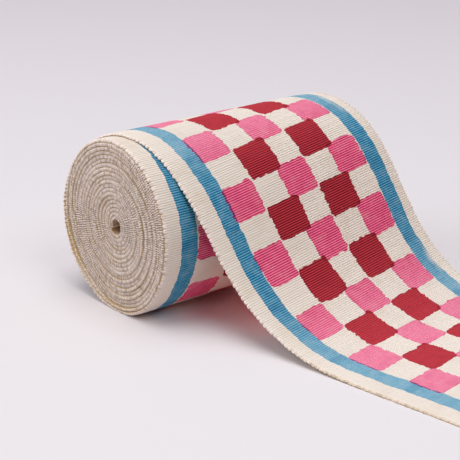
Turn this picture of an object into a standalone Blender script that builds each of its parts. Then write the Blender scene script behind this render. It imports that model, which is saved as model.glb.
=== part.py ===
"""Roll of block-printed trim: one length of wide ribbon, wound up, with its outer end lying loose.

Units are metres and +Z is up. The roll lies on its side, its axis along X and its near end face
towards -X. The outer turn comes up the back (+Y), over the top, and falls to the floor in front (-Y).
The origin is the centre of the bounding box, on the floor.

Places round the roll are given by an angle in degrees from its top, positive towards the front.
"""
import math

import bmesh
import bpy

# The ribbon
RIBBON_WIDTH = 0.100
RIBBON_THICKNESS = 0.0012
GAP = 0.0003

# The roll: its axis stands a little lower than its radius, so the cloth is pressed flat where it rests
AXIS_HEIGHT = 0.0337
EYE_SHIFT_Y = -0.0009
EYE_SHIFT_Z = 0.0010
STEP_ANGLE = -85.0
STEPS_PER_TURN = 60
CROWN_STANDS = 0.0009

# The spiral: radius at the step's angle of each coarse turn, from the open eye outwards
TURN_RADII = (0.0031, 0.0045, 0.0090, 0.0145, 0.0195, 0.0245, 0.0290, 0.0318, 0.0334, 0.0350)

# The outermost turn of the roll, below the step and once round: angle from the top, radius
LAST_TURN = (
    (-445.0, 0.0334),
    (-420.0, 0.0334),
    (-386.0, 0.0338),
    (-360.0, 0.0343),
    (-334.0, 0.0346),
    (-300.0, 0.0346),
    (-280.0, 0.0339),
    (-260.0, 0.0332),
    (-240.0, 0.0327),
    (-215.0, 0.0335),
    (-180.0, 0.0344),
    (-150.0, 0.0339),
    (-125.0, 0.0344),
    (-100.0, 0.0349),
    (-85.0, 0.0350),
)

# The printed side of the loose end while it lies on the roll: angle from the top, radius
OVER_THE_TOP = (
    (-85.0, 0.0350),
    (-60.0, 0.0350),
    (-30.0, 0.0355),
    (0.0, 0.0361),
    (45.5, 0.0362),
)

# The fall: share of its length, slope in degrees, and how far each metre across the ribbon
# from its middle towards the far edge leans back and hangs down
FALL = (
    (0.00, 45.5, 0.000, 0.000),
    (0.11, 58.4, 0.013, 0.009),
    (0.22, 59.2, 0.023, 0.016),
    (0.33, 46.7, 0.031, 0.020),
    (0.44, 31.2, 0.037, 0.022),
    (0.56, 14.5, 0.043, 0.020),
    (0.67, 1.5, 0.050, 0.010),
    (0.78, 0.0, 0.050, 0.000),
    (1.00, 0.0, 0.000, 0.000),
)
MIDDLE_OF_FALL_X = 0.065
FALL_STEPS = 60
OVER_STEP_ANGLE = 3.0

# The loose end runs askew: its near edge drifts along X with a steady slope once it is past the back
DRIFT_ANGLE = 8.48
DRIFT_STARTS = -0.0535
DRIFT_STEADY = -0.0253
FLAT_LENGTH = 0.025

CREAM = (0.80, 0.76, 0.68, 1.0)
FACE_GREY = (0.62, 0.58, 0.51, 1.0)


def start_empty():
    for old in list(bpy.data.objects):
        bpy.data.objects.remove(old, do_unlink=True)


def new_collection(name):
    group = bpy.data.collections.new(name)
    bpy.context.scene.collection.children.link(group)
    return group


def cloth_material(name, colour):
    material = bpy.data.materials.new(name)
    material.use_nodes = True
    shader = material.node_tree.nodes["Principled BSDF"]
    shader.inputs["Base Color"].default_value = colour
    shader.inputs["Roughness"].default_value = 0.9
    shader.inputs["Metallic"].default_value = 0.0
    return material


def read_table(table, place, column=1):
    """Smooth value of a column at a place, without overshoot between the table's rows."""
    at = [row[0] for row in table]
    value = [row[column] for row in table]
    last = len(at) - 1
    place = min(max(place, at[0]), at[last])
    rise = [(value[k + 1] - value[k]) / (at[k + 1] - at[k]) for k in range(last)]
    slope = [0.0] * (last + 1)
    for k in range(1, last):
        if rise[k - 1] * rise[k] > 0.0:
            slope[k] = 2.0 * rise[k - 1] * rise[k] / (rise[k - 1] + rise[k])
    k = 0
    while k < last - 1 and place > at[k + 1]:
        k += 1
    width = at[k + 1] - at[k]
    t = (place - at[k]) / width
    start = value[k] * (1.0 + 2.0 * t) * (1.0 - t) ** 2 + slope[k] * width * t * (1.0 - t) ** 2
    end = value[k + 1] * (3.0 - 2.0 * t) * t ** 2 - slope[k + 1] * width * (1.0 - t) * t ** 2
    return start + end


def point_on_circle(angle, radius):
    """A place round the roll's axis as (y, z)."""
    turn = math.radians(angle)
    return -radius * math.sin(turn), AXIS_HEIGHT + radius * math.cos(turn)


def spiral_point(turns):
    """A point of the winding spiral as (y, z), after a number of coarse turns from the eye."""
    whole = len(TURN_RADII) - 1
    k = min(int(turns), whole - 1)
    part = turns - k
    even = TURN_RADII[k] + (TURN_RADII[k + 1] - TURN_RADII[k]) * part
    even_last = TURN_RADII[-2] + (TURN_RADII[-1] - TURN_RADII[-2]) * part
    out = min(turns / (whole - 1), 1.0)
    angle = STEP_ANGLE - 360.0 * (1.0 - part)
    radius = even + (read_table(LAST_TURN, angle) - even_last) * out
    y, z = point_on_circle(angle, radius)
    return y + EYE_SHIFT_Y * (1.0 - out), max(z + EYE_SHIFT_Z * (1.0 - out), 0.0)


def build_roll(shift):
    """The wound turns: a snail-shaped body whose end faces carry the turns as low spiral ridges."""
    mesh = bmesh.new()
    whole = len(TURN_RADII) - 1
    count = whole * STEPS_PER_TURN
    last_start = count - STEPS_PER_TURN
    groove = {}
    crown = {}
    for end, x_groove, x_crown in ((0, CROWN_STANDS, 0.0), (1, RIBBON_WIDTH - CROWN_STANDS, RIBBON_WIDTH)):
        points = [spiral_point(i / STEPS_PER_TURN) for i in range(count + 1)]
        for i, (y, z) in enumerate(points):
            groove[end, i] = mesh.verts.new((x_groove + shift[0], y + shift[1], z))
        for i in range(last_start + 1):
            y = (points[i][0] + points[i + STEPS_PER_TURN][0]) / 2.0
            z = (points[i][1] + points[i + STEPS_PER_TURN][1]) / 2.0
            crown[end, i] = mesh.verts.new((x_crown + shift[0], y + shift[1], z))
        for i in range(last_start):
            outer = i + STEPS_PER_TURN
            mesh.faces.new((groove[end, i], groove[end, i + 1], crown[end, i + 1], crown[end, i]))
            mesh.faces.new((crown[end, i], crown[end, i + 1], groove[end, outer + 1], groove[end, outer]))
    for first in (0, last_start):
        for i in range(first, first + STEPS_PER_TURN):
            mesh.faces.new((groove[0, i], groove[0, i + 1], groove[1, i + 1], groove[1, i]))
    for first in (0, last_start):
        outer = first + STEPS_PER_TURN
        near = (groove[0, first], crown[0, first], groove[0, outer])
        far = (groove[1, outer], crown[1, first], groove[1, first])
        mesh.faces.new(near + far)
    return mesh


def loose_end_profile():
    """The printed side of the loose end, seen along X: rows of travel, y, z, lean and dip."""
    rows = []
    angle = OVER_THE_TOP[0][0] + math.degrees(GAP / OVER_THE_TOP[0][1])
    leave_angle = OVER_THE_TOP[-1][0]
    steps = math.ceil((leave_angle - angle) / OVER_STEP_ANGLE)
    for i in range(steps + 1):
        place = angle + (leave_angle - angle) * i / steps
        y, z = point_on_circle(place, read_table(OVER_THE_TOP, place))
        rows.append([0.0, y, z, 0.0, 0.0])
    slopes = [math.radians(read_table(FALL, (i + 0.5) / FALL_STEPS)) for i in range(FALL_STEPS)]
    drop = rows[-1][2] - RIBBON_THICKNESS
    length = drop / (sum(math.sin(slope) for slope in slopes) / FALL_STEPS)
    for i, slope in enumerate(slopes):
        share = (i + 1) / FALL_STEPS
        y = rows[-1][1] - math.cos(slope) * length / FALL_STEPS
        z = rows[-1][2] - math.sin(slope) * length / FALL_STEPS
        rows.append([0.0, y, z, read_table(FALL, share, 2), read_table(FALL, share, 3)])
    for row, before in zip(rows[1:], rows):
        row[0] = before[0] + math.hypot(row[1] - before[1], row[2] - before[2])
    for row, before in zip(rows[1:], rows):
        if before[1] > 0.0 >= row[1]:
            top = before[0] + (row[0] - before[0]) * before[1] / (before[1] - row[1])
    for row in rows:
        row[0] -= top
    return rows


def near_edge(travel):
    """How far along X the near edge has drifted, and the slope of that drift."""
    slope = math.tan(math.radians(DRIFT_ANGLE))
    if travel <= DRIFT_STARTS:
        return 0.0, 0.0
    if travel < DRIFT_STEADY:
        share = (travel - DRIFT_STARTS) / (DRIFT_STEADY - DRIFT_STARTS)
        return slope * share ** 2 * (DRIFT_STEADY - DRIFT_STARTS) / 2.0, slope * share
    return slope * (travel - (DRIFT_STARTS + DRIFT_STEADY) / 2.0), slope


def build_loose_end(shift):
    """The sheet, lofted from straight lines across it, with its plain cut square to its edges."""
    profile = loose_end_profile()
    sections = []
    for k, (travel, y, z, lean, dip) in enumerate(profile):
        before = profile[max(k - 1, 0)]
        after = profile[min(k + 1, len(profile) - 1)]
        run = math.hypot(after[1] - before[1], after[2] - before[2])
        normal_y = (after[2] - before[2]) / run
        normal_z = -(after[1] - before[1]) / run
        x_near, slope = near_edge(travel)
        x_far = x_near + RIBBON_WIDTH * math.hypot(1.0, slope)
        corners = []
        for x in (x_near, x_far):
            out = x - MIDDLE_OF_FALL_X
            top = (x, y + lean * out, z - dip * out)
            under = (x, top[1] - normal_y * RIBBON_THICKNESS, top[2] - normal_z * RIBBON_THICKNESS)
            corners += [top, under]
        sections.append(corners)
    slope = math.tan(math.radians(DRIFT_ANGLE))
    travel, y, z = profile[-1][:3]
    near_run = FLAT_LENGTH
    far_run = FLAT_LENGTH - RIBBON_WIDTH * math.sin(math.radians(DRIFT_ANGLE))
    cut = []
    for run, across in ((near_run, 0.0), (far_run, RIBBON_WIDTH * math.hypot(1.0, slope))):
        x = near_edge(travel + run)[0] + across
        cut += [(x, y - run, z), (x, y - run, z - RIBBON_THICKNESS)]
    sections.append(cut)
    mesh = bmesh.new()
    rings = []
    for corners in sections:
        rings.append([mesh.verts.new((x + shift[0], y + shift[1], max(z, 0.0))) for x, y, z in corners])
    for ring, following in zip(rings, rings[1:]):
        for a, b in ((0, 2), (2, 3), (3, 1), (1, 0)):
            mesh.faces.new((ring[a], ring[b], following[b], following[a]))
    mesh.faces.new([rings[0][k] for k in (0, 1, 3, 2)])
    mesh.faces.new([rings[-1][k] for k in (0, 2, 3, 1)])
    return mesh


def add_piece(name, mesh, material, group):
    bmesh.ops.recalc_face_normals(mesh, faces=mesh.faces)
    data = bpy.data.meshes.new(name)
    mesh.to_mesh(data)
    data.materials.append(material)
    data.shade_smooth()
    data.set_sharp_from_angle(angle=math.radians(30.0))
    piece = bpy.data.objects.new(name, data)
    group.objects.link(piece)
    return piece


def centre_of_box(meshes):
    """The middle of the whole object's box, along X and Y."""
    points = [vert.co for mesh in meshes for vert in mesh.verts]
    middle = []
    for k in (0, 1):
        values = [point[k] for point in points]
        middle.append((min(values) + max(values)) / 2.0)
    return middle


start_empty()
collection = new_collection("roll_of_block_printed_trim")
unmoved = [build_roll((0.0, 0.0)), build_loose_end((0.0, 0.0))]
centre_x, centre_y = centre_of_box(unmoved)
for draft in unmoved:
    draft.free()
place = (-centre_x, -centre_y)
add_piece("wound_roll", build_roll(place), cloth_material("wound_cloth", FACE_GREY), collection)
add_piece("loose_end", build_loose_end(place), cloth_material("printed_cloth", CREAM), collection)
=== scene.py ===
"""Looks of the roll of block-printed trim, one length of ribbed cotton ribbon that is wound up by hand.

Lengths are metres. Places on the ribbon are given from its near edge (across) and along it (along).
Places round the roll are angles in degrees from its top, positive towards the front.
"""
import math

import bmesh
import bpy
import numpy as np
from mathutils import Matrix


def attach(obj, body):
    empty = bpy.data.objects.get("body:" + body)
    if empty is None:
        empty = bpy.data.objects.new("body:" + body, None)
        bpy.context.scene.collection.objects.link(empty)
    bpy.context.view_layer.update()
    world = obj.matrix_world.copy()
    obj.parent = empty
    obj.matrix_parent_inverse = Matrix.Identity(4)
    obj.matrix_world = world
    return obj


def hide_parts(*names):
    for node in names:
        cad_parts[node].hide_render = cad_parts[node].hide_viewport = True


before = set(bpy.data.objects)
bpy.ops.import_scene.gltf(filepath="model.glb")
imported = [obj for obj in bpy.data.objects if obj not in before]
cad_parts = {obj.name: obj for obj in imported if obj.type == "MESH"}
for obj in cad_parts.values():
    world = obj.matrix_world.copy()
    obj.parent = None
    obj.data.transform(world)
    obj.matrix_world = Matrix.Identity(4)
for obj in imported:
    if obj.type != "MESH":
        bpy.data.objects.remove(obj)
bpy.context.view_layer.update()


# Camera: a long lens, a little above the roll, looking at its near end face and down the loose end.
# It stands where the photograph was taken from, level and without shift.
FOCAL_LENGTH = 110.075
CAMERA_PLACE = (-0.34699, -0.35693, 0.21644)
CAMERA_DOWN = 0.3474
CAMERA_TURN = -0.6704
camera_lens = bpy.data.cameras.new("camera")
camera_lens.sensor_width = 36.0
camera_lens.lens = FOCAL_LENGTH
camera = bpy.data.objects.new("camera", camera_lens)
camera.location = CAMERA_PLACE
camera.rotation_euler = (math.pi / 2.0 - CAMERA_DOWN, 0.0, CAMERA_TURN)
bpy.context.scene.collection.objects.link(camera)
bpy.context.scene.camera = camera
bpy.context.scene.view_settings.view_transform = "Standard"


# The wound turns: ribbed cotton ribbon wound by hand, with no core, round a small open eye. What shows of
# them is their selvedges, small loops of weft in ring after ring. The ribbon's path, weave and print are
# worked out here for its whole length.

# The path: 21 turns, the last one loose at the bottom, then once more over the top, down in a free curve
# and flat on the table. It is wound by hand, so no turn is round.
ROLL_NEAR_X = -0.0672041
ROLL_AXIS_Y = 0.0676033
ROLL_AXIS_Z = 0.0337
STEP_ANGLE = -85.0
TURNS = 21
STEPS_PER_TURN = 360
WOUND_STEPS = TURNS * STEPS_PER_TURN
EYE_SHIFT = (-0.0022, 0.0017)
RADIUS_BY_TURN = ((0.0, 0.0023), (0.75, 0.0032), (1.25, 0.0040), (20.0, 0.0342), (21.0, 0.0350))
LAST_TURN = (
    (-445.0, 0.0337),
    (-420.0, 0.0338),
    (-386.0, 0.0342),
    (-360.0, 0.0347),
    (-334.0, 0.0348),
    (-300.0, 0.0346),
    (-280.0, 0.0341),
    (-260.0, 0.0336),
    (-240.0, 0.0332),
    (-215.0, 0.0339),
    (-180.0, 0.0346),
    (-150.0, 0.0339),
    (-125.0, 0.0344),
    (-100.0, 0.0349),
    (-85.0, 0.0350),
)
# Where the turns inside lie away from the ones round them: angle, half width of the gap, its depth,
# the turn outside which nothing is slack, and over how many turns inwards it dies away
SLACK = (
    (-165.0, 52.0, 0.00080, 20.3, 4.0),
    (-132.0, 40.0, 0.00045, 19.3, 2.5),
)
SLACK_BEGINS_OVER = 0.25
SHAPE_FADES_INWARDS = 1.5
OVER_THE_TOP = (
    (-85.0, 0.0350),
    (-60.0, 0.0350),
    (-30.0, 0.0355),
    (0.0, 0.0361),
    (45.5, 0.0362),
)
OVER_STEPS = 260
# The fall: share of its length, slope in degrees, lean and dip of the cloth across its width
FALL = (
    (0.00, 45.5, 0.000, 0.000),
    (0.11, 58.4, 0.013, 0.009),
    (0.22, 59.2, 0.023, 0.016),
    (0.33, 46.7, 0.031, 0.020),
    (0.44, 31.2, 0.037, 0.022),
    (0.56, 14.5, 0.043, 0.020),
    (0.67, 1.5, 0.050, 0.010),
    (0.78, 0.0, 0.050, 0.000),
    (1.00, 0.0, 0.000, 0.000),
)
FALL_STEPS = 400
MIDDLE_OF_FALL_X = 0.065
CLOTH_THICKNESS = 0.0009
FLAT_LENGTH = 0.025
FLAT_STEPS = 40
FLAT_STEP = 0.001


def read_table(table, place, column=1):
    """Smooth value of a column at a place, without overshoot between the table's rows."""
    at = [row[0] for row in table]
    value = [row[column] for row in table]
    last = len(at) - 1
    place = min(max(place, at[0]), at[last])
    rise = [(value[k + 1] - value[k]) / (at[k + 1] - at[k]) for k in range(last)]
    slope = [0.0] * (last + 1)
    for k in range(1, last):
        if rise[k - 1] * rise[k] > 0.0:
            slope[k] = 2.0 * rise[k - 1] * rise[k] / (rise[k - 1] + rise[k])
    k = 0
    while k < last - 1 and place > at[k + 1]:
        k += 1
    width = at[k + 1] - at[k]
    t = (place - at[k]) / width
    start = value[k] * (1.0 + 2.0 * t) * (1.0 - t) ** 2 + slope[k] * width * t * (1.0 - t) ** 2
    end = value[k + 1] * (3.0 - 2.0 * t) * t ** 2 - slope[k + 1] * width * (1.0 - t) * t ** 2
    return start + end


def point_on_circle(angle, radius):
    """A place round the roll's axis as (y, z)."""
    turn = math.radians(angle)
    return -radius * math.sin(turn), ROLL_AXIS_Z + radius * math.cos(turn)


def slack_at(turn, angle):
    """How far a turn lies inside its even place."""
    total = 0.0
    for centre, half_width, depth, ends, dies_over in SLACK:
        off = (angle - centre + 180.0) % 360.0 - 180.0
        inward = ends - turn
        begins = min(max(inward / SLACK_BEGINS_OVER + 0.5, 0.0), 1.0)
        beside = math.exp(-((off / half_width) ** 2))
        farther_in = math.exp(-max(inward, 0.0) / dies_over)
        total += depth * beside * begins * farther_in
    return total


def path_of_ribbon():
    """The printed side seen along X, from the eye to the cut: rows of travel from the top, y, z, lean, dip,
    and the travel at the cut."""
    rows = []
    around = []
    for i in range(STEPS_PER_TURN):
        share = i / STEPS_PER_TURN
        even = LAST_TURN[0][1] + (LAST_TURN[-1][1] - LAST_TURN[0][1]) * share
        around.append(read_table(LAST_TURN, STEP_ANGLE - 360.0 * (1.0 - share)) - even)
    for i in range(WOUND_STEPS):
        turn = i / STEPS_PER_TURN
        angle = STEP_ANGLE - 360.0 * (TURNS - turn)
        out = min(turn / (TURNS - 1.0), 1.0)
        radius = float(np.interp(turn, *zip(*RADIUS_BY_TURN)))
        radius += around[i % STEPS_PER_TURN] * out ** SHAPE_FADES_INWARDS - slack_at(turn, angle)
        y, z = point_on_circle(angle, radius)
        rows.append((y + EYE_SHIFT[0] * (1.0 - out), max(z + EYE_SHIFT[1] * (1.0 - out), 0.0), 0.0, 0.0))
    for i in range(OVER_STEPS + 1):
        angle = OVER_THE_TOP[0][0] + (OVER_THE_TOP[-1][0] - OVER_THE_TOP[0][0]) * i / OVER_STEPS
        rows.append(point_on_circle(angle, read_table(OVER_THE_TOP, angle)) + (0.0, 0.0))
    slopes = [math.radians(read_table(FALL, (i + 0.5) / FALL_STEPS)) for i in range(FALL_STEPS)]
    length = (rows[-1][1] - CLOTH_THICKNESS) / (sum(math.sin(slope) for slope in slopes) / FALL_STEPS)
    for i, slope in enumerate(slopes):
        share = (i + 1) / FALL_STEPS
        y = rows[-1][0] - math.cos(slope) * length / FALL_STEPS
        z = rows[-1][1] - math.sin(slope) * length / FALL_STEPS
        rows.append((y, z, read_table(FALL, share, 2), read_table(FALL, share, 3)))
    for i in range(FLAT_STEPS):
        rows.append((rows[-1][0] - FLAT_STEP, rows[-1][1], 0.0, 0.0))
    y, z, lean, dip = np.array(rows).T
    travel = np.concatenate(([0.0], np.cumsum(np.hypot(np.diff(y), np.diff(z)))))
    top = WOUND_STEPS + int(np.argmax(y[WOUND_STEPS:] <= 0.0))
    at_cut = travel[-1] - travel[top] - FLAT_STEPS * FLAT_STEP + FLAT_LENGTH
    return travel - travel[top], y, z, lean, dip, at_cut


travel, path_y, path_z, path_lean, path_dip, travel_at_cut = path_of_ribbon()
along_y = np.gradient(path_y, travel)
along_z = np.gradient(path_z, travel)
along_size = np.hypot(along_y, along_z)
normal_y = along_z / along_size
normal_z = -along_y / along_size
step_travel = float(travel[WOUND_STEPS])
# How far apart a turn and the one inside it lie
WIDEST_ROOM = 0.0015
room = np.full(len(travel), WIDEST_ROOM)
each_turn = slice(STEPS_PER_TURN, WOUND_STEPS)
turn_inside = slice(0, WOUND_STEPS - STEPS_PER_TURN)
room[each_turn] = np.hypot(path_y[each_turn] - path_y[turn_inside], path_z[each_turn] - path_z[turn_inside])

# How the ribbon runs over that path: straight in the roll, then askew by some degrees over the top and
# down the fall, as a hand pulls it off sideways. Heading: distance along the near edge, degrees askew.
WIDTH = 0.100
HEADING = (
    (-0.300, 0.0),
    (-0.193, 0.0),
    (-0.158, -1.35),
    (-0.122, 0.0),
    (-0.052, 8.48),
    (0.300, 8.48),
)
EDGE_REACH = 0.300
EDGE_STEP = 0.0005
EDGE_AT_START = (0.01206, 0.04154)


def run_of_near_edge():
    """Distance along the near edge with its place across the roll, its travel and its heading."""
    along = np.arange(-EDGE_REACH, EDGE_REACH + EDGE_STEP / 5.0, EDGE_STEP)
    heading = np.radians([read_table(HEADING, float(place)) for place in along])
    between = (heading[1:] + heading[:-1]) / 2.0
    across = np.concatenate(([0.0], np.cumsum(np.sin(between) * EDGE_STEP)))
    forward = np.concatenate(([0.0], np.cumsum(np.cos(between) * EDGE_STEP)))
    start = int(np.argmin(np.abs(along)))
    across = across - across[start] + EDGE_AT_START[0]
    forward = forward - forward[start] + EDGE_AT_START[1]
    return along, across, forward, heading


edge_along, edge_across, edge_travel, edge_heading = run_of_near_edge()

# The weave: a plain ribbed cloth. Thick weft cords lie across the ribbon and make its ribs on both sides,
# and each cord turns back at the selvedge in a small loop, so two ribs share one loop. Towards the cut the
# ribs lie flatter, given as distance along the near edge and share of their depth.
RIB_PITCH = 0.00092
VALLEY_DEPTH = 0.00026
RIB_DEPTHS = (0.72, 1.28)
LOOP_SIZES = (0.6, 1.35)
LOOP_ROUNDNESS = 0.6
LOOPS_FLATTEN = 1.5
FAR_LOOPS_SHIFT = 0.5
UNEVEN_LOOPS = 0.00011
FLATTER_RIBS = ((0.044, 1.0), (0.090, 0.55))
BETWEEN_TURNS = 0.00003
PINCH = 0.30
RANDOM_VALUES = 6000
LOWEST_RIB = -4000
LOWEST_LOOP = -2500
# Where the turns stand out at the sides by some tenths of a millimetre: from where on, and over what length
ROLL_BEGINS = (-0.150, 0.05)
SIDE_WANDER = ((0.11, 3, 0.0005), (0.023, 4, 0.00015))
# Where the ribs are spaced unevenly, inside the outer turn
TURNS_BEGIN = (-0.360, 0.02)
RIB_WANDER = (0.0045, 5, 0.00042)
OUTER_RIBS = 312
RIBS_CUT_AT_EYE = 17
ROUNDING = 1e-6
MAP_UNITS_PER_METRE = 10.0


def wander(places, spacing, seed, size):
    """A smooth random value at each place, from -size to size, that changes over the spacing."""
    steps = places / spacing
    first = np.floor(steps).astype(int)
    low = int(first.min())
    values = np.random.default_rng(seed).uniform(-size, size, int(first.max()) - low + 2)
    part = steps - first
    part = part * part * (3.0 - 2.0 * part)
    return values[first - low] * (1.0 - part) + values[first - low + 1] * part


def random_for(number, lowest, seed, low, high):
    """A random value for each whole number, the same for each piece that asks for it."""
    return np.random.default_rng(seed).uniform(low, high, RANDOM_VALUES)[number - lowest]


def along_at_rib(rib):
    """Distance along the near edge at a rib, counted from the step on the back of the roll."""
    at_step = float(np.interp(step_travel, edge_travel, edge_along))
    return at_step + rib * RIB_PITCH


def closed_mesh(name, points):
    """A closed skin round rows of points, with both ends filled and all faces outwards."""
    rows, count = points.shape[:2]
    start = (np.arange(rows - 1) * count)[:, None]
    here = np.arange(count)[None, :]
    after = (here + 1) % count
    quads = np.stack((start + here, start + after, start + count + after, start + count + here), axis=-1)
    faces = quads.reshape(-1, 4).tolist()
    faces.append(list(range(count))[::-1])
    faces.append(list(range((rows - 1) * count, rows * count)))
    mesh = bpy.data.meshes.new(name)
    mesh.from_pydata(points.reshape(-1, 3).tolist(), [], faces)
    whole = bmesh.new()
    whole.from_mesh(mesh)
    bmesh.ops.recalc_face_normals(whole, faces=whole.faces)
    whole.to_mesh(mesh)
    whole.free()
    mesh.shade_smooth()
    return mesh


def keep_places(mesh, across, along, level, gap):
    """Keep on the mesh each point's place on the weave and on the print, its side and its gap."""
    corner = np.empty(len(mesh.loops), dtype=np.int32)
    mesh.loops.foreach_get("vertex_index", corner)
    flat_across = across.reshape(-1)
    flat_along = np.broadcast_to(along[:, None], across.shape).reshape(-1)
    for map_name, second in (("weave", flat_along), ("print", print_place(flat_along))):
        layer = mesh.uv_layers.new(name=map_name)
        places = np.stack((flat_across, second), axis=-1)[corner] * MAP_UNITS_PER_METRE
        layer.data.foreach_set("uv", places.ravel())
    for kept_name, kept in (("side", np.broadcast_to(level[None, :], across.shape)), ("gap", gap)):
        attribute = mesh.attributes.new(kept_name, "FLOAT", "POINT")
        attribute.data.foreach_set("value", kept.reshape(-1).astype(np.float32))


def make_ribbon(name, first_rib, last_rib, phases, rim, thickness, loop_reach, loop_pairs):
    """One stretch of ribbon as a closed piece, with a row of rim points at each phase of each rib.

    A rim point is (across, level, pull): level is 1 on the printed side and -1 on the reverse, and pull
    is how far it goes with the selvedge loops. loop_pairs is how much of a loop's shape goes over two
    ribs; the rest follows each rib.
    """
    ribs = np.arange(first_rib, last_rib)
    place = np.append((ribs[:, None] + np.array(phases)[None, :]).ravel(), float(last_rib))
    rib = np.minimum(np.floor(place + ROUNDING).astype(int), last_rib - 1)
    along = along_at_rib(place)

    inside = along < edge_along[0]
    heading = np.where(inside, 0.0, np.interp(along, edge_along, edge_heading))
    straight_on = edge_travel[0] + along - edge_along[0]
    forward = np.where(inside, straight_on, np.interp(along, edge_along, edge_travel))
    near_x = np.interp(along, edge_along, edge_across)
    in_roll = np.clip((ROLL_BEGINS[0] - along) / ROLL_BEGINS[1], 0.0, 1.0)
    near_x = near_x + in_roll * sum(wander(along, *way) for way in SIDE_WANDER)
    in_turns = np.clip((TURNS_BEGIN[0] - along) / TURNS_BEGIN[1], 0.0, 1.0)
    forward = forward + in_turns * wander(along, *RIB_WANDER)

    across, level, pull = np.array(rim).T
    outward = np.where(across < WIDTH / 2.0, -1.0, 1.0)
    flatter = np.interp(along, *zip(*FLATTER_RIBS))
    depth = VALLEY_DEPTH * random_for(rib, LOWEST_RIB, 11, *RIB_DEPTHS) * flatter
    valley = depth * (1.0 - np.sqrt(np.abs(np.sin(np.pi * (place - rib)))))
    pair = place[:, None] / 2.0 + np.where(outward > 0.0, FAR_LOOPS_SHIFT, 0.0)[None, :]
    single = np.abs(np.sin(np.pi * place[:, None])) ** LOOP_ROUNDNESS
    double = np.abs(np.sin(np.pi * pair)) ** LOOP_ROUNDNESS
    loop = loop_pairs * double + (1.0 - loop_pairs) * single
    size = random_for(np.floor(pair + ROUNDING).astype(int), LOWEST_LOOP, 21, *LOOP_SIZES)
    gap = pull[None, :] * (1.0 - loop) * flatter[:, None]
    out_by = loop_reach * flatter[:, None] ** LOOPS_FLATTEN * size * loop * pull[None, :]
    u = across[None, :] + outward[None, :] * out_by

    thick = np.minimum(thickness, np.interp(forward, travel, room) - BETWEEN_TURNS)[:, None]
    half = (thick / 2.0 - valley[:, None]) * (1.0 - PINCH * gap)
    uneven = random_for(rib, LOWEST_RIB, 31, -UNEVEN_LOOPS, UNEVEN_LOOPS)
    off = level[None, :] * half - thick / 2.0 + uneven[:, None] * pull[None, :]
    x = near_x[:, None] + u * np.cos(heading)[:, None]
    t = forward[:, None] - u * np.sin(heading)[:, None]
    y = np.interp(t, travel, path_y) + np.interp(t, travel, normal_y) * off
    z = np.interp(t, travel, path_z) + np.interp(t, travel, normal_z) * off
    from_middle = x - MIDDLE_OF_FALL_X
    y = y + np.interp(t, travel, path_lean) * from_middle
    z = np.maximum(z - np.interp(t, travel, path_dip) * from_middle, 0.0)

    mesh = closed_mesh(name, np.stack((x + ROLL_NEAR_X, y + ROLL_AXIS_Y, z), axis=-1))
    keep_places(mesh, u, along, level, gap)
    piece = bpy.data.objects.new(name, mesh)
    bpy.context.scene.collection.objects.link(piece)
    return piece


# The print's rows: blocks put down by hand, row after row, so each row sits a little early or late and the
# rows on the hidden back of the roll come a little closer together. Slips are millimetres.
ROW_PITCH = 0.01344
ROW_SLIPS = (0.36, 0.70, -0.65, 0.10, -1.35, -1.25, 0.10, 0.30, -0.45, 0.0, -0.10, 0.05)
FIRST_SLIP_ROW = -3
STEADY_PART_OF_ROW = 0.3
SLIP_DIES_OVER = 0.012
CLOSER_ROWS = ((-0.206, -0.0025), (-0.060, 0.0))


def print_place(along):
    """Where on the printed pattern a distance along the ribbon falls."""
    centres = (np.arange(len(ROW_SLIPS)) + FIRST_SLIP_ROW + 0.5) * ROW_PITCH
    ends = []
    slips = []
    for centre, slip in zip(centres, ROW_SLIPS):
        for edge in (-STEADY_PART_OF_ROW, STEADY_PART_OF_ROW):
            ends.append(centre + edge * ROW_PITCH + slip / 1000.0)
            slips.append(slip / 1000.0)
    ends = [ends[0] - SLIP_DIES_OVER] + ends + [ends[-1] + SLIP_DIES_OVER]
    slips = [0.0] + slips + [0.0]
    closer = np.interp(along, *zip(*CLOSER_ROWS))
    return along - np.interp(along, ends, slips) + closer


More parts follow.
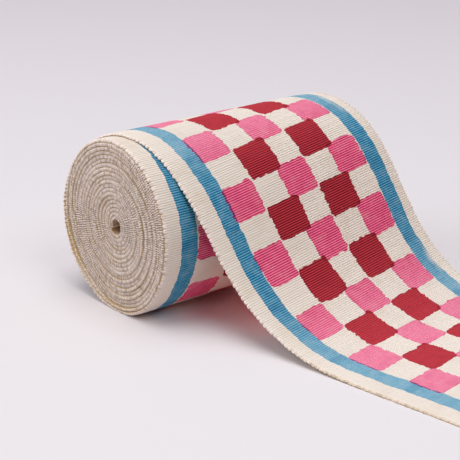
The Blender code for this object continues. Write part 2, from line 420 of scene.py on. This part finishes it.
class Value:
    """A number or colour that varies over a piece. Arithmetic on it adds the nodes that work it out."""

    def __init__(self, socket):
        self.socket = socket

    def node(self, kind, settings=None, sockets=None, output=0):
        tree = self.socket.id_data
        node = tree.nodes.new(kind)
        for name, setting in (settings or {}).items():
            setattr(node, name, setting)
        for place, value in (sockets or {}).items():
            if isinstance(value, Value):
                tree.links.new(value.socket, node.inputs[place])
            else:
                node.inputs[place].default_value = value
        return Value(node.outputs[output])

    def math(self, operation, *values):
        return self.node("ShaderNodeMath", {"operation": operation}, dict(enumerate(values)))

    def __add__(self, other):
        return self.math("ADD", self, other)

    def __radd__(self, other):
        return self.math("ADD", other, self)

    def __sub__(self, other):
        return self.math("SUBTRACT", self, other)

    def __rsub__(self, other):
        return self.math("SUBTRACT", other, self)

    def __mul__(self, other):
        return self.math("MULTIPLY", self, other)

    def __rmul__(self, other):
        return self.math("MULTIPLY", other, self)

    def __truediv__(self, other):
        return self.math("DIVIDE", self, other)

    def __abs__(self):
        return self.math("ABSOLUTE", self)

    def least(self, other):
        return self.math("MINIMUM", self, other)

    def most(self, other):
        return self.math("MAXIMUM", self, other)

    def step(self, low, high):
        """0 below low, 1 above high and smooth between them, also where low is the greater."""
        settings = {"interpolation_type": "SMOOTHSTEP"}
        return self.node("ShaderNodeMapRange", settings, {0: self, 1: low, 2: high, 3: 0.0, 4: 1.0})

    def noise(self, other, size, detail=1.0, shift=0.0):
        """Noise from 0 to 1 over two lengths, with features of a size."""
        place = self.node("ShaderNodeCombineXYZ", {}, {0: self / size + shift, 1: other / size})
        settings = {"noise_dimensions": "2D"}
        return self.node("ShaderNodeTexNoise", settings, {"Vector": place, "Scale": 1.0, "Detail": detail})

    def chance(self, other):
        """A random number for each pair of whole numbers."""
        place = self.node("ShaderNodeCombineXYZ", {}, {0: self, 1: other})
        return self.node("ShaderNodeTexWhiteNoise", {"noise_dimensions": "2D"}, {"Vector": place}, "Value")

    def colour(self, shade):
        """A plain colour in this value's material."""
        plain = self.node("ShaderNodeRGB")
        plain.socket.default_value = shade
        return plain

    def blend(self, other, amount, way="MIX"):
        """This colour with another over it."""
        settings = {"data_type": "RGBA", "blend_type": way}
        return self.node("ShaderNodeMix", settings, {0: amount, 6: self, 7: other}, 2)

    def tint(self, other, amount):
        """This colour as seen through another."""
        return self.blend(other, amount, "MULTIPLY")


# The bare cloth: undyed cream cotton. Its selvedges are painted lighter off the table, which is painted
# light, and there is painted shade between its ribs, in the gaps between its selvedge loops and inside the
# eye. A gilt tinge runs along some turns. From here on sizes in the materials are millimetres of ribbon.
CREAM = (0.875, 0.79, 0.705, 1.0)
CLOUDY_CREAM = (0.81, 0.705, 0.60, 1.0)
SHADE_BETWEEN_RIBS = (0.84, 0.77, 0.68, 1.0)
PAINTED_LIGHT_ON_SELVEDGES = (1.12, 1.11, 1.18, 1.0)
SELVEDGE_TINT_ON_TABLE = (0.96, 0.89, 0.80, 1.0)
DULL_LOOP = (0.66, 0.61, 0.57, 1.0)
FLECK = (0.68, 0.62, 0.56, 1.0)
GAP_SHADE_IN_ROLL = (0.64, 0.54, 0.42, 1.0)
GAP_SHADE = (0.92, 0.84, 0.70, 1.0)
GILT = (0.84, 0.70, 0.42, 1.0)
SHADE_INSIDE_EYE = (0.74, 0.60, 0.47, 1.0)
NEAR_SELVEDGE = (1.5, 0.6)
FAR_SELVEDGE = (98.5, 99.4)
CLOTH_ON_TABLE = (50.0, 90.0)
VALLEY_SHADE = (0.24, 0.04)
COTTON_CLOUDS = 11.0
FLECK_SIZE = 0.45
GILT_PATCHES = (40.0, 100.0)
OUTER_RINGS = (-900.0, -400.0)
EYE_RINGS = (38.0, 26.0)
OUTER_START = along_at_rib(-OUTER_RIBS) * 1000.0
ribs_in_roll = int(float(step_travel - travel[0]) / RIB_PITCH) - RIBS_CUT_AT_EYE
EYE_END = along_at_rib(-ribs_in_roll) * 1000.0


def bare_cotton(across, along, side, gap, rib_number, from_valley, lit_flat):
    """The colour of the cloth before it is printed, with its painted light and shade. The last argument is
    1 where the light falls across no rib, and there the painted shade between the ribs is mostly left out.
    """
    per_rib = rib_number.chance(0.0)
    cloud = across.noise(along, COTTON_CLOUDS, 3.0, shift=43.0)
    cotton = across.colour(CREAM)
    cotton = cotton.blend(CLOUDY_CREAM, cloud.step(0.45, 0.75) * 0.5 + (per_rib - 0.5) * 0.2)
    # Painted shade between the ribs of the cream cotton, mostly left out on the top of the roll and towards
    # the table.
    cotton = cotton.tint(SHADE_BETWEEN_RIBS, from_valley.step(*VALLEY_SHADE) * (0.80 - lit_flat * 0.60))

    in_edge = across.step(*NEAR_SELVEDGE).most(across.step(*FAR_SELVEDGE))
    end_face = in_edge * side.step(1.0, 0.8) * side.step(-1.0, -0.8)
    on_wound = along.step(OUTER_START + 1.0, OUTER_START - 1.0)
    on_table = along.step(*CLOTH_ON_TABLE)
    own_loop = rib_number.chance(9.0)
    fleck = along.noise(side * 0.75, FLECK_SIZE, 2.0, 5.0)
    # Painted light: the selvedges are painted lighter and a little bluer off the table; on the table they
    # get a slight tan tint instead.
    cotton = cotton.tint(PAINTED_LIGHT_ON_SELVEDGES, end_face * (1.0 - on_table))
    cotton = cotton.tint(SELVEDGE_TINT_ON_TABLE, end_face * on_table)
    cotton = cotton.tint(DULL_LOOP, end_face * own_loop.step(0.35, 1.0) * 0.6)
    cotton = cotton.tint(FLECK, end_face * on_wound * fleck.step(0.46, 0.66) * 0.5)

    # Painted shade in the gaps between the selvedge loops, browner in the wound turns.
    in_gap = in_edge * gap.step(0.12, 0.60)
    cotton = cotton.tint(GAP_SHADE_IN_ROLL, in_gap * on_wound)
    cotton = cotton.tint(GAP_SHADE, in_gap * (1.0 - on_wound))

    ring_shade = (along / GILT_PATCHES[0]).noise(across / GILT_PATCHES[1], 1.0)
    outer_rings = along.step(OUTER_START + OUTER_RINGS[0], OUTER_START + OUTER_RINGS[1]) * 0.25
    gilt_turns = (ring_shade.step(0.36, 0.62) + outer_rings).least(1.0)
    at_turn_edge = side.step(-0.55, -0.95) + side.step(0.75, 1.0) * on_wound
    cotton = cotton.tint(GILT, in_edge * at_turn_edge * gilt_turns)
    # Painted shade inside the eye, on the reverse of the innermost turns.
    in_eye = along.step(EYE_END + EYE_RINGS[0], EYE_END + EYE_RINGS[1])
    return cotton.tint(SHADE_INSIDE_EYE, in_eye * side.step(-0.5, -0.9))


# The print: blue runs along both edges, and pink and dark red squares take turns between them. Painted
# shade darkens the inks between the ribs, painted light makes them lighter on the top of the roll and
# towards the table, and the ink pools along the edges of each square. Each ink's colours: painted light,
# full, and painted shade.
PINK = ((0.95, 0.265, 0.41, 1.0), (0.96, 0.20, 0.35, 1.0), (0.62, 0.010, 0.10, 1.0))
RED = ((0.565, 0.046, 0.064, 1.0), (0.54, 0.042, 0.062, 1.0), (0.19, 0.001, 0.007, 1.0))
BLUE = ((0.225, 0.49, 0.63, 1.0), (0.095, 0.40, 0.58, 1.0), (0.005, 0.135, 0.29, 1.0))
CLOUDY_INK = (0.82, 0.80, 0.84, 1.0)
GRAINY_INK = (0.80, 0.67, 0.74, 1.0)
POOLED_INK = (0.76, 0.60, 0.68, 1.0)
BLUE_TWICE = (0.45, 0.70, 0.80, 1.0)
BLUE_ON_PINK = (0.28, 0.24, 0.55, 1.0)
RED_ON_PINK = (0.74, 0.52, 0.58, 1.0)
COLUMN_PITCH = 14.445
FIRST_COLUMN = 15.70
TWO_COLUMNS = 2.0 * COLUMN_PITCH
TWO_ROWS = 2.0 * ROW_PITCH * 1000.0
PINK_CENTRE = (FIRST_COLUMN + COLUMN_PITCH * 0.5, TWO_ROWS * 0.25)
PINK_HALF = (7.72, 7.28)
PINK_COLUMNS_BEGIN = (4.0, 5.0)
RED_CENTRE = (FIRST_COLUMN + COLUMN_PITCH * 1.5, TWO_ROWS * 0.75)
RED_HALF = (8.36, 7.58)
RED_COLUMNS_BEGIN = (24.0, 25.0)
RED_COLUMNS_END = (82.0, 81.0)
RED_EAR = (6.9, -6.6, 2.4)
# How the columns drift sideways: from the start, by how much more, and over which stretch of the ribbon
PINK_DRIFT = (0.38, 0.62)
PINK_DRIFTS_OVER = ((36.0, 56.0), (110.0, 92.0))
RED_DRIFT = (-1.75, 1.85)
RED_DRIFTS_OVER = (-20.0, 90.0)
BLOCK_JITTER = 0.4
ROUNDED_CORNER = 1.9
INK_EDGE = 0.12
POOL_BEGINS = (-1.0, -0.15)
# Wobbles of an edge: the length over which it changes, and how far it reaches
WIDE_WOBBLE = (6.5, 1.1)
FINE_WOBBLE_ACROSS = (1.9, 1.35)
FINE_WOBBLE_ALONG = (2.2, 1.15)
SQUARE_WOBBLE_PER_RIB = 0.45
STRIPE_WOBBLE = (9.0, 1.0)
FINE_STRIPE_WOBBLE = (2.0, 0.55)
STRIPE_WOBBLE_PER_RIB = 0.25
# The stripes' block is put down again and again, and overlaps the last print by some millimetres
STRIPE_BLOCK = 32.0
FIRST_STRIPE_BLOCK = 14.6
STRIPE_NUDGE = 0.5
NEAR_STRIPE = 10.8
NEAR_STRIPE_HALF = (3.72, 3.48)
FAR_STRIPE = 92.0
FAR_STRIPE_HALF = (3.88, 3.62)
NEAR_STRIPE_INWARDS = 1.25
NEAR_INWARDS_OVER = (-80.0, -30.0)
NEAR_STRIPE_OUTWARDS = 1.2
NEAR_OUTWARDS_OVER = ((0.0, 50.0), (122.0, 72.0))
FAR_STRIPE_INWARDS = 1.1
FAR_INWARDS_OVER = (25.0, 60.0)
OVERLAP_AT_START = (0.12, 0.05)
OVERLAP_AT_END = (0.955, 0.97)
# How well the ink takes: sizes of its clouds, specks, grain and streaks, and where the far blue stripe
# turns whitish in streaks
PRINTED_SIDE = (0.35, 0.75)
REVERSE = (-0.6, -0.95)
GONE_THROUGH = 0.6
INK_SHADE_IN_VALLEYS = (0.36, 0.12)
FULL_COVER = 0.99
INK_CLOUDS = 4.5
INK_SPECKS = 0.8
INK_GRAIN = 0.42
INK_STREAKS = (9.0, 0.9)
WHITISH_STREAKS = (0.7, 11.0)
WHITISH_EDGE = (91.6, 94.2)
WHITISH_ON_FALL = (44.0, 60.0)
WHITISH_ON_TOP = (-6.0, -20.0)


def wobble(u, v, way, shift=0.0):
    """A length that wanders to both sides of none."""
    return (u.noise(v, way[0], shift=shift) - 0.5) * way[1]


def block_print(u, v, centre, half, seed, ear=None):
    """The mask of one block's squares, and where ink has pooled along their edges. An ear is a blob at the
    upper far corner: its place and size."""
    column = u.math("ROUND", (u - centre[0]) / TWO_COLUMNS)
    row = u.math("ROUND", (v - centre[1]) / TWO_ROWS)
    own_u = (column + seed).chance(row)
    own_v = (column + seed + 40.0).chance(row)
    from_u = u - centre[0] - column * TWO_COLUMNS + (own_u - 0.5) * BLOCK_JITTER
    from_v = v - centre[1] - row * TWO_ROWS + (own_v - 0.5) * BLOCK_JITTER
    past_u = abs(from_u) - (half[0] - ROUNDED_CORNER)
    past_v = abs(from_v) - (half[1] - ROUNDED_CORNER)
    out_u = past_u.most(0.0)
    out_v = past_v.most(0.0)
    outside = u.math("SQRT", out_u * out_u + out_v * out_v)
    inside = past_u.most(past_v).least(0.0)
    distance = outside + inside - ROUNDED_CORNER
    if ear:
        ear_u = from_u - ear[0]
        ear_v = from_v - ear[1]
        blob = u.math("SQRT", ear_u * ear_u + ear_v * ear_v) - own_u * ear[2]
        distance = distance.least(blob)
    return distance.step(INK_EDGE, -INK_EDGE), distance.step(*POOL_BEGINS)


def printed_squares(u, v, per_rib):
    """The masks of the pink and the dark red squares, each with its pooled ink. Their columns drift."""
    own_rib = (per_rib - 0.5) * SQUARE_WOBBLE_PER_RIB
    wobbly_u = u + wobble(u, v, WIDE_WOBBLE) + (wobble(u, v, FINE_WOBBLE_ACROSS, 7.0) + own_rib)
    wobbly_v = v + wobble(u, v, WIDE_WOBBLE, 31.0) + wobble(u, v, FINE_WOBBLE_ALONG, 57.0)
    drifted = v.step(*PINK_DRIFTS_OVER[0]) * v.step(*PINK_DRIFTS_OVER[1])
    pink_drift = PINK_DRIFT[0] + drifted * PINK_DRIFT[1]
    red_drift = RED_DRIFT[1] * v.step(*RED_DRIFTS_OVER) + RED_DRIFT[0]
    pink, pink_pool = block_print(wobbly_u + pink_drift, wobbly_v, PINK_CENTRE, PINK_HALF, 3.0)
    red, red_pool = block_print(wobbly_u + red_drift, wobbly_v, RED_CENTRE, RED_HALF, 17.0, RED_EAR)
    pink = pink * u.step(*PINK_COLUMNS_BEGIN)
    red = red * u.step(*RED_COLUMNS_BEGIN) * u.step(*RED_COLUMNS_END)
    return pink, pink_pool, red, red_pool


def printed_stripes(u, v, per_rib):
    """The mask of the two blue stripes, and where two prints of their block overlap."""
    blocks = (v - FIRST_STRIPE_BLOCK) / STRIPE_BLOCK
    block = u.math("FLOOR", blocks)
    part = blocks - block
    nudge = (block.chance(5.0) - 0.5) * STRIPE_NUDGE
    wobbly_u = u + wobble(u, v, STRIPE_WOBBLE, 91.0) + wobble(u, v, FINE_STRIPE_WOBBLE, 13.0)
    wobbly_u = wobbly_u + (per_rib - 0.5) * STRIPE_WOBBLE_PER_RIB
    outwards = v.step(*NEAR_OUTWARDS_OVER[0]) * v.step(*NEAR_OUTWARDS_OVER[1]) * NEAR_STRIPE_OUTWARDS
    near_centre = NEAR_STRIPE + v.step(*NEAR_INWARDS_OVER) * NEAR_STRIPE_INWARDS - outwards
    far_centre = FAR_STRIPE - v.step(*FAR_INWARDS_OVER) * FAR_STRIPE_INWARDS
    near_stripe = abs(wobbly_u - nudge - near_centre).step(*NEAR_STRIPE_HALF)
    far_stripe = abs(wobbly_u + nudge - far_centre).step(*FAR_STRIPE_HALF)
    twice = part.step(*OVERLAP_AT_START) + part.step(*OVERLAP_AT_END)
    return near_stripe.most(far_stripe), twice


def print_over(cotton, u, v, side, per_rib, from_valley, pale, lit_flat):
    """The colour of the cotton with the three inks on it, and a mask of where any ink is. On the reverse
    they show through at a little over half strength."""
    pink, pink_pool, red, red_pool = printed_squares(u, v, per_rib)
    blue, twice = printed_stripes(u, v, per_rib)
    on_face = side.step(*PRINTED_SIDE) + side.step(*REVERSE) * GONE_THROUGH

    cloud = u.noise(v, INK_CLOUDS, 3.0, shift=3.0)
    speck = u.noise(v, INK_SPECKS, 2.0, shift=19.0)
    grain = u.noise(v, INK_GRAIN, 2.0, shift=83.0).step(0.46, 0.72)
    streaks = (u / INK_STREAKS[0]).noise(v / INK_STREAKS[1], 1.0, 2.0)
    cover = FULL_COVER + (cloud - 0.5) * 0.30 + (streaks - 0.5) * 0.22 + (speck - 0.5) * 0.20
    # The far blue stripe turns whitish in streaks along its outer side, in two stretches: one on the top of
    # the roll and one from the fall on.
    whitish_streaks = (u / WHITISH_STREAKS[0]).noise(v / WHITISH_STREAKS[1], 1.0, 2.0, 5.0).step(0.42, 0.62)
    whitish_blue = u.step(*WHITISH_EDGE) * (v.step(*WHITISH_ON_FALL) + v.step(*WHITISH_ON_TOP)) * whitish_streaks
    blue_cover = (cover - 0.02 - whitish_blue * 0.6).least(1.0)
    pink_cover = cover.least(1.0)
    red_cover = (cover + 0.10).least(1.0)

    # Painted shade on the inks between the ribs, mostly left out on the top of the roll and towards the
    # table, where the inks get painted light instead.
    rib_shade = from_valley.step(*INK_SHADE_IN_VALLEYS) * (1.0 - lit_flat * 0.85)
    inks = (
        (BLUE, blue * blue_cover, None),
        (PINK, pink * pink_cover, pink_pool),
        (RED, red * red_cover, red_pool),
    )
    colour = cotton
    for (pale_shade, full_shade, shaded_ink), mask, pool in inks:
        ink = u.colour(full_shade).blend(pale_shade, pale).blend(shaded_ink, rib_shade)
        ink = ink.tint(CLOUDY_INK, cloud.step(0.5, 0.8) * 0.5)
        ink = ink.tint(GRAINY_INK, grain * (0.25 + pale * 0.75))
        if pool:
            ink = ink.tint(POOLED_INK, pool * cloud.step(0.35, 0.65) * 0.6)
        colour = colour.blend(ink, mask * on_face)
    colour = colour.tint(BLUE_TWICE, blue * twice * on_face * 0.5)
    colour = colour.tint(BLUE_ON_PINK, blue * pink * on_face * 0.9)
    colour = colour.tint(RED_ON_PINK, red * pink * on_face * 0.9)
    return colour, pink.most(red).most(blue) * on_face


# The cloth's threads and its material. On the top of the roll and towards the table the light falls along
# no rib, so there the inks are painted lighter, painted light, and the painted shade between the ribs is
# mostly left out.
ON_TOP = ((2.0, -26.0), (-120.0, -80.0))
PALE_TOWARDS_TABLE = (30.0, 80.0)
LIT_FLAT_TOWARDS_TABLE = (32.0, 84.0)
THREAD_PITCH = 0.40
THREAD_HEIGHT = 0.00006


def in_millimetres(places):
    """The first two numbers of a map, in millimetres of ribbon."""
    scale = 1000.0 / MAP_UNITS_PER_METRE
    return [places.node("ShaderNodeSeparateXYZ", {}, {0: places}, k) * scale for k in (0, 1)]


def printed_cloth(name):
    """Cream ribbed cotton, printed where the piece's own side attribute is near 1, its reverse at -1."""
    material = bpy.data.materials.new(name)
    material.use_nodes = True
    tree = material.node_tree
    shader = tree.nodes["Principled BSDF"]
    print_map = Value(tree.nodes.new("ShaderNodeUVMap").outputs[0])
    print_map.socket.node.uv_map = "print"
    u, v = in_millimetres(print_map)
    across, along = in_millimetres(print_map.node("ShaderNodeUVMap", {"uv_map": "weave"}))
    side = u.node("ShaderNodeAttribute", {"attribute_name": "side"}, {}, "Fac")
    gap = u.node("ShaderNodeAttribute", {"attribute_name": "gap"}, {}, "Fac")
    rib = along / (RIB_PITCH * 1000.0) - along_at_rib(0.0) / RIB_PITCH
    rib_number = u.math("FLOOR", rib)
    from_valley = abs(u.math("WRAP", rib, 0.5, -0.5))

    # Painted light: on the top of the roll and towards the table the inks are painted lighter and the
    # painted shade between the ribs is mostly left out.
    on_top = v.step(*ON_TOP[0]) * v.step(*ON_TOP[1])
    pale = on_top + v.step(*PALE_TOWARDS_TABLE)
    lit_flat = on_top + v.step(*LIT_FLAT_TOWARDS_TABLE)
    cotton = bare_cotton(across, along, side, gap, rib_number, from_valley, lit_flat)
    colour, inked = print_over(cotton, u, v, side, rib_number.chance(0.0), from_valley, pale, lit_flat)

    thread = u.math("SINE", (across / THREAD_PITCH + rib_number * 0.5) * (2.0 * math.pi))
    fuzz = across.noise(along, 0.35, 3.0, shift=71.0)
    height = thread * 0.35 + (fuzz - 0.5) * 0.5
    bump = u.node("ShaderNodeBump", {}, {"Strength": 0.30, "Distance": THREAD_HEIGHT, "Height": height})
    rough = 0.84 - inked * 0.10 + (fuzz - 0.5) * 0.1
    tree.links.new(colour.socket, shader.inputs["Base Color"])
    tree.links.new(bump.socket, shader.inputs["Normal"])
    tree.links.new(rough.socket, shader.inputs["Roughness"])
    shader.inputs["Sheen Weight"].default_value = 0.08
    shader.inputs["Sheen Roughness"].default_value = 0.3
    shader.inputs["Specular IOR Level"].default_value = 0.12
    return material


# The wound turns themselves, in two pieces. The winding starts with a cut end inside the eye.
WOUND_THICKNESS = 0.0016
WOUND_LOOP_REACH = 0.0006
WOUND_LOOP_PAIRS = 0.10
WOUND_PHASES = (0.0, 0.25, 0.5, 0.75)
INNER_SHARE = 0.52
wound_near = (
    (0.0008, -1.00, 0.5),
    (0.0006, -0.76, 0.9),
    (0.0005, 0.00, 1.0),
    (0.0006, 0.76, 0.9),
    (0.0008, 1.00, 0.5),
)
wound_far = tuple((WIDTH - across, -level, pull) for across, level, pull in wound_near)
wound_rim = wound_near + ((WIDTH / 2.0, 1.0, 0.0),) + wound_far + ((WIDTH / 2.0, -1.0, 0.0),)
cloth = printed_cloth("printed_cotton")
middle_rib = -int(ribs_in_roll * INNER_SHARE)
wound_loops = (WOUND_LOOP_REACH, WOUND_LOOP_PAIRS)
wound_stretches = (
    ("inner_turns", -ribs_in_roll, middle_rib),
    ("middle_turns", middle_rib, -OUTER_RIBS),
)
for name, first, last in wound_stretches:
    wound_piece = make_ribbon(name, first, last, WOUND_PHASES, wound_rim, WOUND_THICKNESS, *wound_loops)
    wound_piece.data.materials.append(cloth)
    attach(wound_piece, "root")
    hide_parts("wound_roll")


# The outer turn: the last time round before the ribbon climbs over the top, with its printed side out. Its
# selvedges are rounded on the printed side and square on the reverse.
OUTER_THICKNESS = 0.0015
SHOWN_LOOP_REACH = 0.00065
SHOWN_LOOP_PAIRS = 1.0
SHOWN_PHASES = (0.0, 0.09, 0.26, 0.5, 0.74, 0.91)
SELVEDGE_WIDTH = 0.0024
FAR_SELVEDGE_OUT = 0.0005
PRINTED_COLUMNS = 18
REVERSE_COLUMNS = 9
rim_near = (
    (0.0018, -1.00, 0.0),
    (0.0005, -0.98, 0.8),
    (0.0004, -0.75, 0.9),
    (0.0004, 0.00, 1.0),
    (0.0009, 0.88, 0.5),
    (SELVEDGE_WIDTH, 1.00, 0.0),
)
rim_far = tuple((WIDTH + FAR_SELVEDGE_OUT - across, -level, pull) for across, level, pull in rim_near)
between_selvedges = WIDTH - 2.0 * SELVEDGE_WIDTH
printed_side = tuple(
    (SELVEDGE_WIDTH + between_selvedges * k / PRINTED_COLUMNS, 1.0, 0.0)
    for k in range(1, PRINTED_COLUMNS)
)
reverse_side = tuple(
    (WIDTH - SELVEDGE_WIDTH - between_selvedges * k / REVERSE_COLUMNS, -1.0, 0.0)
    for k in range(1, REVERSE_COLUMNS)
)
shown_rim = rim_near + printed_side + rim_far + reverse_side
shown_loops = (SHOWN_LOOP_REACH, SHOWN_LOOP_PAIRS)
outer = make_ribbon("outer_turn", -OUTER_RIBS, 0, SHOWN_PHASES, shown_rim, OUTER_THICKNESS, *shown_loops)
outer.data.materials.append(cloth)
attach(outer, "root")
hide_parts("wound_roll")


# The loose end: it lies on the roll from the back over the top, leaves it in front and falls in a free
# curve to the table, where it is cut square.
along_at_cut = float(np.interp(travel_at_cut, edge_travel, edge_along))
loose_ribs = int(round((along_at_cut - along_at_rib(0.0)) / RIB_PITCH))
loose = make_ribbon(
    "loose_end_cloth", 0, loose_ribs, SHOWN_PHASES, shown_rim, CLOTH_THICKNESS, *shown_loops
)
loose.data.materials.append(cloth)
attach(loose, "root")
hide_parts("loose_end")


# The table: a plain pale surface that turns a little brighter away from the viewer, which evens out the
# light on it.
TABLE_SIZE = 12.0
NEAR_PAINT = (0.815, 0.781, 0.797, 1.0)
FAR_PAINT = (0.95, 0.88, 0.93, 1.0)
VIEW_DIRECTION = (0.62, 0.78)
PAINT_CHANGES = (-0.2, 1.1)
bpy.ops.object.select_all(action="DESELECT")
bpy.ops.mesh.primitive_plane_add(size=TABLE_SIZE, location=(0.0, 0.0, 0.0))
table_top = bpy.context.object
table_top.name = "table_top"
table_paint = bpy.data.materials.new("table_paint")
table_paint.use_nodes = True
table_shader = table_paint.node_tree.nodes["Principled BSDF"]
place = Value(table_paint.node_tree.nodes.new("ShaderNodeTexCoord").outputs["Object"])
place_x = place.node("ShaderNodeSeparateXYZ", {}, {0: place}, 0)
place_y = place.node("ShaderNodeSeparateXYZ", {}, {0: place}, 1)
away = place_x * VIEW_DIRECTION[0] + place_y * VIEW_DIRECTION[1]
paint = place.colour(NEAR_PAINT).blend(FAR_PAINT, away.step(*PAINT_CHANGES))
table_paint.node_tree.links.new(paint.socket, table_shader.inputs["Base Color"])
table_shader.inputs["Roughness"].default_value = 0.8
table_top.data.materials.append(table_paint)


# Studio light: three broad soft lamps, above, from the left and in front, under a pale surround that is
# bright overhead. A small red lamp under the fall stands for the light that comes through the cloth.
MIDDLE = (0.0, 0.0, 0.0)
LAMPS = (
    ("top_lamp", (-0.10, 0.00, 1.3), 0.9, 7.7),
    ("left_lamp", (-1.0, 0.55, 0.75), 1.0, 5.4),
    ("front_lamp", (-0.15, -1.0, 1.1), 0.6, 4.5),
)
UNDER_FALL = (0.005, 0.0155, 0.017)
BEHIND_FALL = (0.005, 0.0875, -0.052)
UNDER_FALL_SIZE = (0.08, 0.012)
UNDER_FALL_POWER = 0.0034
THROUGH_CLOTH = (1.0, 0.24, 0.22)
SKY_COLOUR = (0.95, 0.94, 1.0, 1.0)
SKY_BRIGHTENS = (0.32, 1.0)
HORIZON_STRENGTH = 0.02
OVERHEAD_STRENGTH = 0.62


def add_lamp(name, place, aim, size, power):
    """A square lamp at a place, turned to its aim."""
    lamp = bpy.data.lights.new(name, "AREA")
    lamp.shape = "SQUARE"
    lamp.size = size
    lamp.energy = power
    holder = bpy.data.objects.new(name, lamp)
    holder.location = place
    to_aim = [aim[k] - place[k] for k in range(3)]
    flat = math.hypot(to_aim[0], to_aim[1])
    holder.rotation_euler = (math.atan2(flat, -to_aim[2]), 0.0, math.atan2(-to_aim[0], to_aim[1]))
    bpy.context.scene.collection.objects.link(holder)
    return holder


for lamp_name, lamp_place, lamp_size, lamp_power in LAMPS:
    add_lamp(lamp_name, lamp_place, MIDDLE, lamp_size, lamp_power)
through_cloth = add_lamp("through_cloth", UNDER_FALL, BEHIND_FALL, UNDER_FALL_SIZE[0], UNDER_FALL_POWER)
through_cloth.data.shape = "RECTANGLE"
through_cloth.data.size_y = UNDER_FALL_SIZE[1]
through_cloth.data.color = THROUGH_CLOTH
through_cloth.visible_camera = False
surround = bpy.data.worlds.new("surround")
surround.use_nodes = True
sky = surround.node_tree
upward = Value(sky.nodes.new("ShaderNodeTexCoord").outputs["Generated"])
upward = upward.node("ShaderNodeSeparateXYZ", {}, {0: upward}, 2)
strength = HORIZON_STRENGTH + upward.step(*SKY_BRIGHTENS) * OVERHEAD_STRENGTH
sky.nodes["Background"].inputs["Color"].default_value = SKY_COLOUR
sky.links.new(strength.socket, sky.nodes["Background"].inputs["Strength"])
bpy.context.scene.world = surround
